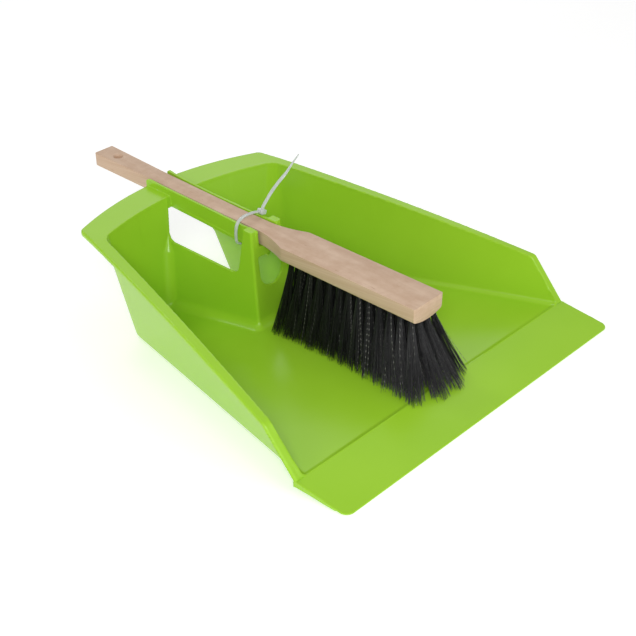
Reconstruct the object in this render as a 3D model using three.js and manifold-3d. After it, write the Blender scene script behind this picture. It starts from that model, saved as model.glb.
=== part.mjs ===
// Dust pan and brush set: a moulded dust pan, a wooden counter brush that lies in the channel of the
// pan's grip, and the cable tie that holds the two together.
//
// Millimetres. The set is drawn with the pan's back flange level: X across, Y from the lip to the back,
// Z up, with y = 0 and z = 0 on the lip's front edge. The last lines tip it so that it stands on the lip's
// front edge and the floor's back edge, and put the origin under the middle of the whole set.
import * as THREE from "three";
import { mergeVertices } from "three/addons/utils/BufferGeometryUtils.js";
import Module from "manifold-3d";

const wasm = await Module();
wasm.setup();

// Driving dimensions

const REST_TILT = THREE.MathUtils.degToRad(6.83); // from "flange level" to "standing on the floor"
const WALL = 2.5; // thickness of the moulding

const lip = { halfWidth: 185, depth: 55, rise: 3.1, corner: 8, edge: 1.3, sideOut: 1.4, lap: 2 };
const skirt = { thickness: 2, drop: 5, frontDrop: 2.5, front: 12, overlap: 0.2 };
const floor = { fall: 0.145, frontHalf: 177.6, backHalf: 101.9, backY: 373.7, centreY: 384.8, corner: 18 };
const rim = {
  bend: { x: 179, y: 91.3, z: 42 }, // where the side rim turns down to the lip
  back: { x: 114.3, y: 388.9, z: 64.6 }, // the virtual back corner of the rim's inner edge
  centreY: 409.4,
  corner: 20,
  crown: 3.2, // how far the side rim rises over its chord
};
const flange = { side: 7.8, cornerX: 121.7, cornerY: 418, centreY: 444.4, corner: 5, roll: 4 };
const foot = { x: 177.7, y: 56, z: 4.6, outerX: 186.4 }; // where the rim runs out into the lip

const recess = {
  low: { z: -60, frontHalf: 26.3, backHalf: 46.2, frontY: 263.7, backY: 379.4 },
  high: { z: 73.9, frontHalf: 20.5, backHalf: 17.4, frontY: 280.6, backY: 410.5 },
};
const channel = {
  innerHalf: 12.3, waist: 1.3, // half width between the ribs at the ends, and how much less at the middle
  underside: 53.3, floorTop: 55.7,
  frontTop: 73.9, backTop: 71.8, sag: 1.3, // height of the ribs' tops, and how far they dip between
  backY: 444.2,
};
const grip = { wallTop: 22.2, footY: 297.5, footZ: 31, lean: 0.8, tipY: 291.6, filletR: 9 };
const thumbHole = { half: 14.8, centreZ: 26.8, top: 46.3 };

const brush = { yaw: THREE.MathUtils.degToRad(0.97), pivotY: 345 };
const wood = {
  tailY: 532.5, tailHalf: 11.8, widenY: 430, handleHalf: 9.7, // the handle widens again towards the tail
  neckY: 286, shoulderY: 243, flare: 1.85, blockHalf: 20, frontY: 79.5,
  tailTop: 71.8, crankY: 330, crankTop: 71.4, frontTop: 76.5, // the top rises from the crank to the front
  handleThick: 15.1, blockThick: 14, crown: 3.6, // thickness at the sides, and the belly under the block
  tailCorner: 1, hangY: 507.5, hangRadius: 4.2,
};
const tuft = {
  rows: 4, columns: 13, rowPitch: 9.3, backY: 233.5, frontY: 87, rootRadius: 2.6, holeRadius: 2.95,
  depth: 9, endGap: 0.3, collar: 0.5, // depth in the wood, room at the end, straight length below the wood
  trim: 78, floorGap: 0.8, sides: 8, fill: 0.44,
};
const fan = { backY: 244, frontY: 55, backHalf: 27, frontHalf: 36, frontShift: -10 }; // where the tips end

const tie = {
  y: 303.4, width: 3.6, thick: 1.2, narrowX: 46, tipWidth: 1.3, tipThick: 0.8,
  // the strap's middle line: over the wood from the head, down the left, under the channel, up the right
  loop: [
    [13.2, 76.4], [7, 78.2], [-0.7, 79.3], [-8.6, 79.2], [-14.2, 77.3], [-17.9, 72.8], [-19.2, 66.8],
    [-19.2, 59.5], [-18.2, 54], [-15.6, 51.8], [-11, 51.6], [11, 51.6], [14.4, 51.9], [16, 54], [16, 59],
    [15.4, 66], [15.2, 71.5],
  ],
  tail: [[19, 81.3], [22.4, 84.8], [31.5, 93.3], [42, 100.4], [50.2, 105.2], [60.4, 113.7], [68.4, 119.5]],
};
const head = {
  x: 16, z: 75.6, turn: THREE.MathUtils.degToRad(20),
  across: 6.4, along: 4.6, wide: 7.6, slotGap: 0.35,
};
const PAST = 40; // how far a cutting tool runs past what it cuts

// Solids

// A closed solid from shared vertices and triangles of indices.
function solidFrom(vertices, triangles) {
  return new wasm.Manifold(
    new wasm.Mesh({
      numProp: 3,
      vertProperties: new Float32Array(vertices.flatMap((v) => [v.x, v.y, v.z])),
      triVerts: new Uint32Array(triangles.flat()),
    }),
  );
}

// The triangles that close a ring of points, going round the way the ring does. The ring is seen in the plane
// of the two named axes.
function capTriangles(ring, across, up) {
  const flat = ring.map((p) => new THREE.Vector2(p[across], p[up]));
  const ringSign = Math.sign(THREE.ShapeUtils.area(flat));
  return THREE.ShapeUtils.triangulateShape(flat, []).map(([a, b, c]) => {
    const sign = Math.sign(THREE.ShapeUtils.area([flat[a], flat[b], flat[c]]));
    return sign === ringSign ? [a, b, c] : [a, c, b];
  });
}

// The solid swept through closed sections that all have the same number of points.
function sweep(sections, across = "x", up = "z") {
  const count = sections[0].length;
  const triangles = [];
  for (let s = 0; s + 1 < sections.length; s++) {
    for (let i = 0; i < count; i++) {
      const a = s * count + i;
      const b = s * count + ((i + 1) % count);
      triangles.push([a, b, b + count], [a, b + count, a + count]);
    }
  }
  const last = (sections.length - 1) * count;
  triangles.push(...capTriangles(sections[0], across, up).map(([a, b, c]) => [a, c, b]));
  triangles.push(...capTriangles(sections.at(-1), across, up).map((t) => t.map((i) => i + last)));
  return outward(solidFrom(sections.flat(), triangles), sections.flat(), triangles);
}

// The same solid with its faces turned outwards.
function outward(made, vertices, triangles) {
  return made.volume() >= 0 ? made : solidFrom(vertices, triangles.map(([a, b, c]) => [a, c, b]));
}

// A three.js geometry as a solid.
function solidOf(geometry) {
  const bare = geometry.clone();
  bare.deleteAttribute("normal");
  bare.deleteAttribute("uv");
  const merged = mergeVertices(bare, 1e-4);
  const made = new wasm.Mesh({
    numProp: 3,
    vertProperties: merged.attributes.position.array,
    triVerts: new Uint32Array(merged.index.array),
  });
  return new wasm.Manifold(made);
}

// An outline drawn in Y and Z, extruded across X from -half to half.
function acrossX(outline, half) {
  const shape = new THREE.Shape(outline.map(([y, z]) => new THREE.Vector2(y, z)));
  const geometry = new THREE.ExtrudeGeometry(shape, { depth: 2 * half, bevelEnabled: false, steps: 1 });
  geometry.applyMatrix4(new THREE.Matrix4().set(0, 0, 1, -half, 1, 0, 0, 0, 0, 1, 0, 0, 0, 0, 0, 1));
  return solidOf(geometry);
}

function meshOf(name, made, material) {
  const { vertProperties, triVerts } = made.getMesh();
  const geometry = new THREE.BufferGeometry();
  geometry.setAttribute("position", new THREE.BufferAttribute(vertProperties, 3));
  geometry.setIndex(new THREE.BufferAttribute(triVerts, 1));
  geometry.computeVertexNormals();
  const mesh = new THREE.Mesh(geometry, material);
  mesh.name = name;
  return mesh;
}

const lerp = THREE.MathUtils.lerp;
const point = (x, y, z) => new THREE.Vector3(x, y, z);

// Dust pan

const floorZ = (y) => lip.rise - floor.fall * (y - lip.depth);
const lipZ = (y) => (lip.rise * y) / lip.depth;

// The height of the rim at a place along the side.
function rimZ(y) {
  const t = THREE.MathUtils.clamp((y - rim.bend.y) / (rim.back.y - rim.bend.y), 0, 1);
  return lerp(rim.bend.z, rim.back.z, t) + rim.crown * 4 * t * (1 - t);
}

// A line at one level of the wall, from the front of the right side to the middle of the back: straight along
// the side, round the corner, then along a shallow curve. The steps match from level to level.
function levelLine(front, corner, centreY, radius) {
  const bow = (centreY - corner.y) / corner.x ** 2;
  const backAt = (x) => new THREE.Vector2(x, centreY - bow * x * x);
  const side = new THREE.Vector2(corner.x - front.x, corner.y - front.y);
  const length = side.length();
  const turnIn = new THREE.Vector2(front.x, front.y).addScaledVector(side, (length - radius) / length);
  const turnOut = backAt(corner.x - radius);
  const sharp = new THREE.Vector2(corner.x, corner.y);
  const bend = new THREE.QuadraticBezierCurve(turnIn, sharp, turnOut);
  const points = [];
  for (let i = 0; i < 6; i++) {
    points.push(new THREE.Vector2(front.x, front.y).lerp(turnIn, i / 6));
  }
  points.push(...bend.getPoints(4));
  for (let i = 1; i <= 5; i++) {
    points.push(backAt(lerp(turnOut.x, 0, i / 5)));
  }
  return points;
}

// One section of the side or back wall with its flange: the inner face, the flange's top, the edge that rolls
// down, and the underside and outer face.
function wallSection(bottom, top, edge) {
  const out = new THREE.Vector2(edge.x - top.x, edge.y - top.y).normalize();
  const shifted = (p, distance, down) => point(p.x + out.x * distance, p.y + out.y * distance, p.z - down);
  return [
    bottom,
    top,
    edge,
    shifted(edge, 0, flange.roll),
    shifted(edge, -WALL, flange.roll),
    shifted(edge, -WALL, WALL),
    shifted(top, WALL, WALL),
    shifted(bottom, WALL, WALL),
    shifted(bottom, 0, WALL),
  ];
}

// The wall and flange all the way round, from the lip on one side to the lip on the other.
function panWall() {
  const frontX = lerp(floor.frontHalf, floor.backHalf, (rim.bend.y - lip.depth) / (floor.backY - lip.depth));
  const bottomLine = levelLine(
    { x: frontX, y: rim.bend.y }, { x: floor.backHalf, y: floor.backY }, floor.centreY, floor.corner,
  );
  const topLine = levelLine(rim.bend, rim.back, rim.centreY, rim.corner);
  const edgeFront = { x: rim.bend.x + flange.side, y: rim.bend.y };
  const edgeLine = levelLine(
    edgeFront, { x: flange.cornerX, y: flange.cornerY }, flange.centreY, flange.corner,
  );
  const half = [];
  for (const t of [0, 0.5]) {
    const top = point(lerp(foot.x, rim.bend.x, t), lerp(foot.y, rim.bend.y, t), lerp(foot.z, rim.bend.z, t));
    const bottom = point(lerp(floor.frontHalf, frontX, t), top.y, floorZ(top.y));
    half.push(wallSection(bottom, top, point(lerp(foot.outerX, edgeFront.x, t), top.y, top.z)));
  }
  topLine.forEach((top, i) => {
    const bottom = bottomLine[i];
    const edge = edgeLine[i];
    const z = rimZ(top.y);
    const low = point(bottom.x, bottom.y, floorZ(bottom.y));
    half.push(wallSection(low, point(top.x, top.y, z), point(edge.x, edge.y, z)));
  });
  const other = half.slice(0, -1).reverse().map((section) => section.map((p) => point(-p.x, p.y, p.z)));
  return { solid: sweep([...half, ...other]), bottomLine };
}

// A ring without the points that lie on a straight stretch of it.
function cornersOf(ring) {
  return ring.filter((p, i) => {
    const before = ring.at(i - 1);
    const after = ring[(i + 1) % ring.length];
    return Math.abs(p.clone().sub(before).cross(after.clone().sub(p))) > 1e-3;
  });
}

// A plate between a top ring and the same ring lowered by a thickness.
function plate(outline, topZ, thickness) {
  const ring = cornersOf(outline);
  const upper = ring.map((p) => point(p.x, p.y, topZ(p.y)));
  const lower = ring.map((p) => point(p.x, p.y, topZ(p.y) - thickness(p.y)));
  return sweep([lower, upper], "x", "y");
}

const mirrored = (points) => points.slice().reverse().map((p) => new THREE.Vector2(-p.x, p.y));

function panFloor(bottomLine) {
  const reach = WALL / 2;
  const half = [
    new THREE.Vector2(floor.frontHalf + reach, lip.depth),
    ...bottomLine.map((p) => new THREE.Vector2(p.x > 0 ? p.x + reach : 0, p.y + reach)),
  ];
  const ring = [...half, ...mirrored(half.slice(0, -1))];
  return plate(ring, floorZ, () => WALL);
}

function panLip() {
  const side = lip.halfWidth;
  const wide = side + lip.sideOut;
  const corner = new THREE.QuadraticBezierCurve(
    new THREE.Vector2(side - lip.corner, 0), new THREE.Vector2(side, 0), new THREE.Vector2(side, lip.corner),
  );
  const half = [
    ...corner.getPoints(4),
    new THREE.Vector2(wide, lip.depth),
    new THREE.Vector2(wide, lip.depth + lip.lap),
  ];
  const ring = [...half, ...mirrored(half)];
  const topZ = (y) => Math.min(lipZ(y), lip.rise);
  const thickness = (y) => lerp(lip.edge, WALL, Math.min(1, y / lip.depth));
  return plate(ring, topZ, thickness).add(lipSkirt(1)).add(lipSkirt(-1));
}

// The turned-down edge along one side of the lip. It stops short of the front.
function lipSkirt(sign) {
  const edgeX = (y) => lip.halfWidth + (lip.sideOut * y) / lip.depth;
  const section = (y, drop) => {
    const outerX = sign * edgeX(y);
    const innerX = sign * (edgeX(y) - skirt.thickness);
    const topZ = lipZ(y) - skirt.overlap;
    const lowZ = lipZ(y) - drop;
    return [point(outerX, y, topZ), point(outerX, y, lowZ), point(innerX, y, lowZ), point(innerX, y, topZ)];
  };
  return sweep([section(skirt.front, skirt.frontDrop), section(lip.depth + lip.lap / 2, skirt.drop)]);
}

// The four-sided solid of the recess for the hand, drawn in by an inset at the front and the sides.
function recessBlock(inset, topZ, backY) {
  const ring = (z) => {
    const t = (z - recess.low.z) / (recess.high.z - recess.low.z);
    const frontY = lerp(recess.low.frontY, recess.high.frontY, t);
    const frontHalf = lerp(recess.low.frontHalf, recess.high.frontHalf, t);
    const wallY = lerp(recess.low.backY, recess.high.backY, t);
    const wallHalf = lerp(recess.low.backHalf, recess.high.backHalf, t);
    const endY = backY ?? wallY + WALL / 2;
    const spread = (wallHalf - frontHalf) / (wallY - frontY);
    const halfAt = (y) => frontHalf + spread * (y - frontY) - inset;
    const y0 = frontY + inset;
    return [
      point(-halfAt(y0), y0, z), point(halfAt(y0), y0, z),
      point(halfAt(endY), endY, z), point(-halfAt(endY), endY, z),
    ];
  };
  return sweep([ring(recess.low.z), ring(topZ)], "x", "y");
}

// The side view of the grip window: over the wall's top edge, up the back of the post, open above and behind.
function windowOutline() {
  const { wallTop, footY, footZ, tipY, filletR } = grip;
  const backY = recess.high.backY + PAST;
  const curve = new THREE.QuadraticBezierCurve(
    new THREE.Vector2(footY + filletR, wallTop),
    new THREE.Vector2(footY, wallTop),
    new THREE.Vector2(footY - grip.lean, footZ),
  );
  const fillet = curve.getPoints(5).map((p) => [p.x, p.y]);
  const above = recess.high.z + 1;
  return [[backY, wallTop], ...fillet, [tipY, above], [backY, above]];
}

// The round hole with a flat top in the post's front wall.
function thumbHoleTool() {
  const shape = new THREE.Shape();
  shape.moveTo(-thumbHole.half, thumbHole.centreZ);
  shape.absarc(0, thumbHole.centreZ, thumbHole.half, Math.PI, 2 * Math.PI, false);
  shape.lineTo(thumbHole.half, thumbHole.top);
  shape.lineTo(-thumbHole.half, thumbHole.top);
  const geometry = new THREE.ExtrudeGeometry(shape, { depth: PAST, bevelEnabled: false, curveSegments: 12 });
  geometry.rotateX(Math.PI / 2);
  return solidOf(geometry.translate(0, recess.high.frontY + PAST / 2, 0));
}

// How far along the channel a place is: 0 at the post, 1 at the back.
const alongChannel = (y) => (y - recess.high.frontY) / (channel.backY - recess.high.frontY);
const hump = (t) => 4 * t * (1 - t);
const ribTop = (y) => {
  const t = alongChannel(y);
  return lerp(channel.frontTop, channel.backTop, t) - channel.sag * hump(t);
};
const channelHalf = (y) => channel.innerHalf - channel.waist * hump(alongChannel(y));

// A solid swept along the channel. The section is given for a place along it and for whether that place is
// the front or the back end.
function channelSweep(section) {
  const steps = 6;
  const sections = [];
  for (let i = 0; i <= steps; i++) {
    const y = lerp(recess.high.frontY, channel.backY, i / steps);
    sections.push(section(y, i === 0, i === steps));
  }
  return sweep(sections);
}

// The channel that carries the brush's handle: two ribs and a floor between them.
function channelSolid() {
  return channelSweep((y, isFront) => {
    const inner = channelHalf(y);
    const outer = inner + WALL;
    const at = (x, z) => point(x, isFront ? frontWallY(z) : y, z);
    return [
      at(-outer, channel.underside), at(outer, channel.underside), at(outer, ribTop(y)), at(inner, ribTop(y)),
      at(inner, channel.floorTop), at(-inner, channel.floorTop), at(-inner, ribTop(y)), at(-outer, ribTop(y)),
    ];
  });
}

// The space between the ribs, opened through the post, the back wall and the flange.
function troughTool() {
  const topZ = recess.high.z + PAST;
  return channelSweep((y, isFront, isBack) => {
    const inner = channelHalf(y);
    const shift = (isFront ? -PAST : 0) + (isBack ? PAST : 0);
    const at = (x, z) => point(x, y + shift, z);
    return [at(-inner, channel.floorTop), at(inner, channel.floorTop), at(inner, topZ), at(-inner, topZ)];
  });
}

function frontWallY(z) {
  const t = (z - recess.low.z) / (recess.high.z - recess.low.z);
  return lerp(recess.low.frontY, recess.high.frontY, t);
}

function panSolid() {
  const wall = panWall();
  const shell = wall.solid.add(panFloor(wall.bottomLine)).add(panLip());
  const side = recess.low.backHalf + PAST;
  const nearY = recess.low.frontY - PAST;
  const farY = recess.high.backY + PAST;
  const belowFloor = plate(
    [[-side, nearY], [side, nearY], [side, farY], [-side, farY]].map(([x, y]) => new THREE.Vector2(x, y)),
    (y) => floorZ(y) - WALL, () => 2 * PAST,
  );
  const post = recessBlock(0, recess.high.z)
    .subtract(acrossX(windowOutline(), side))
    .subtract(belowFloor);
  const hollow = recessBlock(WALL, channel.underside, farY);
  return shell
    .add(post)
    .subtract(hollow)
    .subtract(troughTool())
    .add(channelSolid())
    .subtract(thumbHoleTool());
}

// Brush

// How far the wood has opened from the handle, 0, to the block, 1.
function flareAt(y) {
  const t = THREE.MathUtils.clamp((wood.neckY - y) / (wood.neckY - wood.shoulderY), 0, 1);
  return t ** wood.flare;
}

// Half the wood's width: rounded at the tail, narrowing into the handle, flared at the neck, then straight.
function woodHalf(y) {
  const { tailY, tailHalf, widenY, tailCorner: corner, handleHalf, blockHalf } = wood;
  if (y <= widenY) {
    return lerp(handleHalf, blockHalf, flareAt(y));
  }
  const into = Math.max(0, (y - (tailY - corner)) / corner);
  const rounding = corner * (1 - Math.sqrt(Math.max(0, 1 - into * into)));
  return lerp(handleHalf, tailHalf, (y - widenY) / (tailY - widenY)) - rounding;
}

// The wood's top: nearly level along the handle, then rising to the front.
function woodTop(y) {
  if (y > wood.crankY) {
    return lerp(wood.crankTop, wood.tailTop, (y - wood.crankY) / (wood.tailY - wood.crankY));
  }
  return lerp(wood.frontTop, wood.crankTop, (y - wood.frontY) / (wood.crankY - wood.frontY));
}

// The wood's underside: flat under the handle, crowned across the block.
function woodUnderside(x, y) {
  const flare = flareAt(y);
  const thick = lerp(wood.handleThick, wood.blockThick, flare);
  return woodTop(y) - thick - wood.crown * flare * (1 - (x / woodHalf(y)) ** 2);
}

function woodSection(y) {
  const half = woodHalf(y);
  const steps = 6;
  const points = [point(half, y, woodTop(y)), point(-half, y, woodTop(y))];
  for (let i = 0; i <= steps; i++) {
    const x = lerp(-half, half, i / steps);
    points.push(point(x, y, woodUnderside(x, y)));
  }
  return points;
}

function tuftRoot(row, column) {
  const x = (row - (tuft.rows - 1) / 2) * tuft.rowPitch;
  return new THREE.Vector2(x, lerp(tuft.backY, tuft.frontY, column / (tuft.columns - 1)));
}

// The middle of a tuft's trimmed end.
function tuftTip(row, column) {
  const t = column / (tuft.columns - 1);
  const side = (row - (tuft.rows - 1) / 2) / ((tuft.rows - 1) / 2);
  const half = lerp(fan.backHalf, fan.frontHalf, t) - tipRadii(column).x;
  return new THREE.Vector2(side * half + fan.frontShift * t * t, lerp(fan.backY, fan.frontY, t));
}

// How far a tuft spreads at its tip: across the brush and along it.
function tipRadii(column) {
  const t = column / (tuft.columns - 1);
  const pitchX = (2 * lerp(fan.backHalf, fan.frontHalf, t)) / tuft.rows;
  const pitchY = (fan.backY - fan.frontY) / (tuft.columns - 1);
  return { x: tuft.fill * pitchX, y: tuft.fill * pitchY };
}

// One tuft: straight in its hole, then flaring to a trimmed end that stops above the pan.
function tuftSolid(row, column) {
  const root = tuftRoot(row, column);
  const tip = tuftTip(row, column);
  const radii = tipRadii(column);
  const ring = (centre, rx, ry, z) => {
    const points = [];
    for (let i = 0; i < tuft.sides; i++) {
      const angle = (2 * Math.PI * (i + 0.5)) / tuft.sides;
      const x = centre.x + rx * Math.cos(angle);
      const y = centre.y + ry * Math.sin(angle);
      points.push(point(x, y, z(y)));
    }
    return points;
  };
  const mouthZ = woodUnderside(root.x, root.y);
  const panTop = (y) => (y < lip.depth ? lipZ(y) : floorZ(y)) + tuft.floorGap;
  const tipZ = (y) => Math.max(mouthZ - tuft.trim, panTop(y));
  return sweep(
    [
      ring(root, tuft.rootRadius, tuft.rootRadius, () => mouthZ + tuft.depth - tuft.endGap),
      ring(root, tuft.rootRadius, tuft.rootRadius, () => mouthZ - tuft.collar),
      ring(tip, radii.x, radii.y, tipZ),
    ],
    "x", "y",
  );
}

function tuftHole(row, column) {
  const root = tuftRoot(row, column);
  const geometry = new THREE.CylinderGeometry(tuft.holeRadius, tuft.holeRadius, 2 * tuft.depth, tuft.sides);
  geometry.rotateY(Math.PI / tuft.sides);
  geometry.rotateX(Math.PI / 2);
  return solidOf(geometry.translate(root.x, root.y, woodUnderside(root.x, root.y)));
}

function woodSolid() {
  const { tailY, tailCorner, widenY, crankY, neckY, shoulderY, frontY } = wood;
  const places = [tailY, tailY - tailCorner * 0.3, tailY - tailCorner, widenY, crankY];
  const neckSteps = 6;
  for (let i = 0; i <= neckSteps; i++) {
    places.push(lerp(neckY, shoulderY, i / neckSteps));
  }
  places.push(frontY);
  const hole = new THREE.CylinderGeometry(wood.hangRadius, wood.hangRadius, PAST, 20).rotateX(Math.PI / 2);
  let made = sweep(places.map(woodSection)).subtract(solidOf(hole.translate(0, wood.hangY, wood.tailTop)));
  for (let row = 0; row < tuft.rows; row++) {
    for (let column = 0; column < tuft.columns; column++) {
      made = made.subtract(tuftHole(row, column));
    }
  }
  return made;
}

// Cable tie

// The strap's middle line: round the loop, up through the head's slot and out along the tail.
function strapCurve() {
  const slot = new THREE.Vector2(Math.sin(head.turn), Math.cos(head.turn));
  const through = [-0.5, 0.5].map((t) => slot.clone().multiplyScalar(t * head.along));
  const inHead = through.map((offset) => [head.x + offset.x, head.z + offset.y]);
  const points = [...tie.loop, ...inHead, ...tie.tail].map(([x, z]) => point(x, tie.y, z));
  return new THREE.CatmullRomCurve3(points, false, "centripetal");
}

// The strap as a sweep of rectangles. It narrows to a thin pointed tip along the last stretch of the tail.
function strapSolid() {
  const curve = strapCurve();
  const steps = 3 * (curve.points.length - 1);
  const sections = [];
  for (let i = 0; i <= steps; i++) {
    const at = curve.getPoint(i / steps);
    const along = curve.getTangent(i / steps);
    const tipX = curve.points.at(-1).x;
    const narrow = THREE.MathUtils.clamp((at.x - tie.narrowX) / (tipX - tie.narrowX), 0, 1);
    const half = lerp(tie.width, tie.tipWidth, narrow) / 2;
    const thin = lerp(tie.thick, tie.tipThick, narrow) / 2;
    const corner = (side, y) => point(at.x - along.z * thin * side, tie.y + y, at.z + along.x * thin * side);
    sections.push([corner(1, -half), corner(1, half), corner(-1, half), corner(-1, -half)]);
  }
  return sweep(sections, "x", "y");
}

function headSolid() {
  const block = new THREE.BoxGeometry(head.across, head.wide, head.along);
  const slotAcross = tie.thick + 2 * head.slotGap;
  const slotWide = tie.width + 2 * head.slotGap;
  const slot = new THREE.BoxGeometry(slotAcross, slotWide, 2 * head.along);
  const place = (geometry) => solidOf(geometry.rotateY(head.turn).translate(head.x, tie.y, head.z));
  return place(block).subtract(place(slot));
}

// Assembly

const plain = (color, roughness) => new THREE.MeshStandardMaterial({ color, roughness, metalness: 0 });
const green = plain(0x7ac51c, 0.35);
const beech = plain(0xcdb08e, 0.65);
const bristle = plain(0x17181a, 0.7);
const nylon = plain(0xe2e8e4, 0.4);

const set = new THREE.Group();
set.add(meshOf("pan_tray", panSolid(), green));
set.add(meshOf("cable_tie", strapSolid().add(headSolid()), nylon));

const brushGroup = new THREE.Group();
brushGroup.add(meshOf("brush_back", woodSolid(), beech));
for (let row = 0; row < tuft.rows; row++) {
  for (let column = 0; column < tuft.columns; column++) {
    const name = `tuft_r${row + 1}_c${String(column + 1).padStart(2, "0")}`;
    brushGroup.add(meshOf(name, tuftSolid(row, column), bristle));
  }
}
brushGroup.rotation.z = brush.yaw;
brushGroup.position.set(
  brush.pivotY * Math.sin(brush.yaw), brush.pivotY * (1 - Math.cos(brush.yaw)), 0,
);
set.add(brushGroup);
set.rotation.x = REST_TILT;

// The origin is at the middle of the bottom of the box round the standing set.
const part = new THREE.Group();
part.add(set);
part.updateMatrixWorld(true);
const bounds = new THREE.Box3().setFromObject(part, true);
const middle = bounds.getCenter(new THREE.Vector3());
set.position.set(-middle.x, -middle.y, -bounds.min.z);
part.updateMatrixWorld(true);

export default part;
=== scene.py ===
"""Dust pan and brush set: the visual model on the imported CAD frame.

Shapes are worked out in millimetres in the set's own frame: the pan's flange level, X across, Y from the lip
to the back, Z up, and y = 0, z = 0 on the lip's front edge. SET_TO_ROW takes them to the row frame in metres.
"""
import math

import bmesh
import bpy
import numpy as np
from mathutils import Matrix, Vector


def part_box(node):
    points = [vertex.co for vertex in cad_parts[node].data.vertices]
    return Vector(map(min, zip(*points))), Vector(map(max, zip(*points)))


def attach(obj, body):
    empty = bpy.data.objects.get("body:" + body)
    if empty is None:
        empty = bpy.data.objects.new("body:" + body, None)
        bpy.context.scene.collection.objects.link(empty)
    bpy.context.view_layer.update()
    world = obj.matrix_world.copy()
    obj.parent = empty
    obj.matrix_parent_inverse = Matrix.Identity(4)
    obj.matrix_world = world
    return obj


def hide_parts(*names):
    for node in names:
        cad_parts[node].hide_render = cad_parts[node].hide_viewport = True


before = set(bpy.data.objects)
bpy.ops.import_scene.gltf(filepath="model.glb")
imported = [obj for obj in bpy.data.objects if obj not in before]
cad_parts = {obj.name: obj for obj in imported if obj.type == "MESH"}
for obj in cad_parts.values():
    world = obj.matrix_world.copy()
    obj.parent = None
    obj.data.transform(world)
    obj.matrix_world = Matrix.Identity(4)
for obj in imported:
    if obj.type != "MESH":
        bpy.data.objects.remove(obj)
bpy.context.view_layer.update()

# ---------------------------------------------------------------- frame and camera

REST_TILT = math.radians(6.83)  # from "flange level" to "standing on the floor"
LIP_EDGE = 1.3  # thickness of the lip's front edge, which the pan stands on
SET_TO_ROW = (
    Matrix.Translation((0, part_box("pan_tray")[0].y, LIP_EDGE * math.cos(REST_TILT) / 1000))
    @ Matrix.Rotation(REST_TILT, 4, "X")
    @ Matrix.Scale(0.001, 4)
)
BRUSH_YAW = math.radians(0.97)
BRUSH_PIVOT = Vector((0, 345, 0))
BRUSH_TO_ROW = (
    SET_TO_ROW
    @ Matrix.Translation(BRUSH_PIVOT)
    @ Matrix.Rotation(BRUSH_YAW, 4, "Z")
    @ Matrix.Translation(-BRUSH_PIVOT)
)

CAMERA_AT = Vector((-706.6, -469.9, 659.1))
CAMERA_AZIMUTH = math.radians(-46.0896)
CAMERA_ELEVATION = math.radians(33.9159)
CAMERA_ROLL = math.radians(0.182)
CAMERA_LENS, CAMERA_SENSOR = 68.82, 36


def make_camera():
    data = bpy.data.cameras.new("camera")
    data.lens = CAMERA_LENS
    data.sensor_width = CAMERA_SENSOR
    camera = bpy.data.objects.new("camera", data)
    bpy.context.scene.collection.objects.link(camera)
    turn = (
        Matrix.Rotation(CAMERA_AZIMUTH, 4, "Z")
        @ Matrix.Rotation(math.pi / 2 - CAMERA_ELEVATION, 4, "X")
        @ Matrix.Rotation(CAMERA_ROLL, 4, "Z")
    )
    camera.matrix_world = (
        Matrix.Translation(SET_TO_ROW @ CAMERA_AT) @ Matrix.Rotation(REST_TILT, 4, "X") @ turn
    )
    bpy.context.scene.camera = camera


# ---------------------------------------------------------------- node materials


class Shader:
    """A Principled material built from named nodes."""

    def __init__(self, name, color, roughness, **sockets):
        self.material = bpy.data.materials.new(name)
        self.material.use_nodes = True
        self.tree = self.material.node_tree
        self.principled = self.tree.nodes["Principled BSDF"]
        self.principled.inputs["Base Color"].default_value = (*color, 1)
        self.principled.inputs["Roughness"].default_value = roughness
        for socket, value in sockets.items():
            self.principled.inputs[socket.replace("_", " ")].default_value = value

    def node(self, kind, **values):
        """A node of that kind. Its inputs take numbers, or the outputs of other nodes."""
        made = self.tree.nodes.new(kind)
        for key, value in values.items():
            socket = made.inputs.get(key.replace("_", " "))
            if socket is None:
                setattr(made, key, value)
            elif isinstance(value, bpy.types.NodeSocket):
                self.tree.links.new(value, socket)
            else:
                socket.default_value = value
        return made

    def link(self, output, socket):
        self.tree.links.new(output, self.principled.inputs[socket])

    def attribute(self, name):
        """The number that set_attribute gave each vertex."""
        return self.node("ShaderNodeAttribute", attribute_name=name).outputs["Fac"]

    def place(self, scale=(1, 1, 1)):
        """The object's own coordinates, scaled."""
        at = self.node("ShaderNodeTexCoord").outputs["Object"]
        return self.node("ShaderNodeMapping", Vector=at, Scale=scale).outputs["Vector"]

    def noise(self, place, scale, detail=2.0, roughness=0.5):
        made = self.node(
            "ShaderNodeTexNoise", Vector=place, Scale=scale, Detail=detail, Roughness=roughness
        )
        return made.outputs["Fac"]

    def ramp(self, value, *stops):
        made = self.node("ShaderNodeValToRGB", Fac=value)
        elements = made.color_ramp.elements
        for index, (position, color) in enumerate(stops):
            element = elements[index] if index < 2 else elements.new(position)
            element.position = position
            element.color = (*color, 1)
        return made.outputs["Color"]

    def spread(self, value, low, high):
        """A value from 0 to 1 spread between two numbers."""
        return self.node("ShaderNodeMapRange", Value=value, To_Min=low, To_Max=high).outputs["Result"]

    def mix(self, factor, first, second):
        """Two colours mixed. The Mix node has more sockets of the same names, so these go by number."""
        made = self.node("ShaderNodeMix", data_type="RGBA")
        for index, value in ((0, factor), (6, first), (7, second)):
            if isinstance(value, bpy.types.NodeSocket):
                self.tree.links.new(value, made.inputs[index])
            else:
                made.inputs[index].default_value = value if index == 0 else (*value, 1)
        return made.outputs[2]

    def bump(self, height, distance, strength=1.0):
        made = self.node("ShaderNodeBump", Height=height, Distance=distance, Strength=strength)
        self.link(made.outputs["Normal"], "Normal")


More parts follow.
